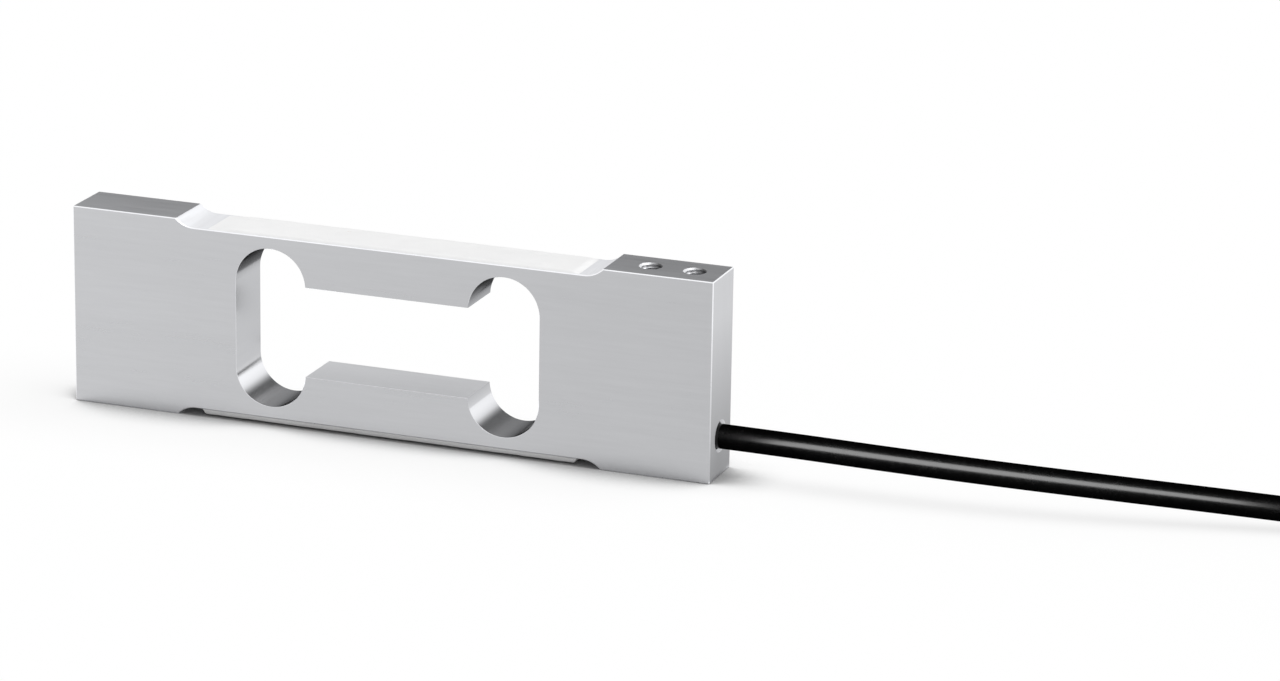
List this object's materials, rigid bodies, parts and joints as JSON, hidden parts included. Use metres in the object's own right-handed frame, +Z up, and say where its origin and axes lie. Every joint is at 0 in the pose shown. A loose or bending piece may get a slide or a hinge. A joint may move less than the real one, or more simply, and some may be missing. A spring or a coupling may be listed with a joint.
{
  "type": "single point load cell",
  "caption": "Thin aluminium beam load cell with a bone-shaped window, recessed gauge faces, tapped mounting holes and a black signal cable.",
  "frame": {"origin": "middle of the beam's underside, without its cable", "axes": "+X along the beam towards the cable end, +Y across the beam towards its back face, +Z up"},
  "size_m": [0.367, 0.0702, 0.045],
  "materials": {
    "beam_aluminium": "fine-milled, with bright deburred edges",
    "silicone_coat": "thin white silicone, satin",
    "cable_jacket": "smooth black polyurethane, semi-gloss",
    "tie_nylon": "natural nylon, satin",
    "shrink_sleeve": "black heat-shrink sleeve, satin",
    "sealant": "pale potting resin",
    "tinned_copper": "tinned copper strand",
    "board_laminate": "green glass-epoxy board",
    "copper_foil": "bare copper pads",
    "resistor_ceramic": "black-glazed chip",
    "carrier_film": "amber polyimide film",
    "gauge_foil": "etched constantan foil",
    "enamelled_wire": "enamelled copper wire",
    "solder": "bright solder",
    "core_red": "red insulation",
    "core_black": "black insulation",
    "core_green": "green insulation",
    "core_white": "white insulation",
    "core_yellow": "yellow sleeve over the shield's drain wire"
  },
  "bodies": {
    "root": {"board_pads": "copper_foil", "board_solder": "solder", "cable_coil": "cable_jacket", "cable_sheath": "cable_jacket", "coat_lower": "silicone_coat", "coat_top": "silicone_coat", "coil_tie": "tie_nylon", "core_black": "core_black", "core_green": "core_green", "core_red": "core_red", "core_tips": "tinned_copper", "core_white": "core_white", "end_sleeve": "shrink_sleeve", "entry_sealant": "sealant", "gauge_carrier_lower_left": "carrier_film", "gauge_carrier_lower_right": "carrier_film", "gauge_carrier_top_left": "carrier_film", "gauge_carrier_top_right": "carrier_film", "gauge_foil_lower_left": "gauge_foil", "gauge_foil_lower_right": "gauge_foil", "gauge_foil_top_left": "gauge_foil", "gauge_foil_top_right": "gauge_foil", "gauge_solder": "solder", "gauge_wires_lower_left": "enamelled_wire", "gauge_wires_lower_right": "enamelled_wire", "gauge_wires_top_left": "enamelled_wire", "gauge_wires_top_right": "enamelled_wire", "lead_black": "core_black", "lead_green": "core_green", "lead_red": "core_red", "lead_shield": "core_yellow", "lead_tips": "tinned_copper", "lead_white": "core_white", "shield_braid": "tinned_copper", "spring_body": "beam_aluminium", "trim_board": "board_laminate", "trim_resistors": "resistor_ceramic"}
  },
  "joints": []
}
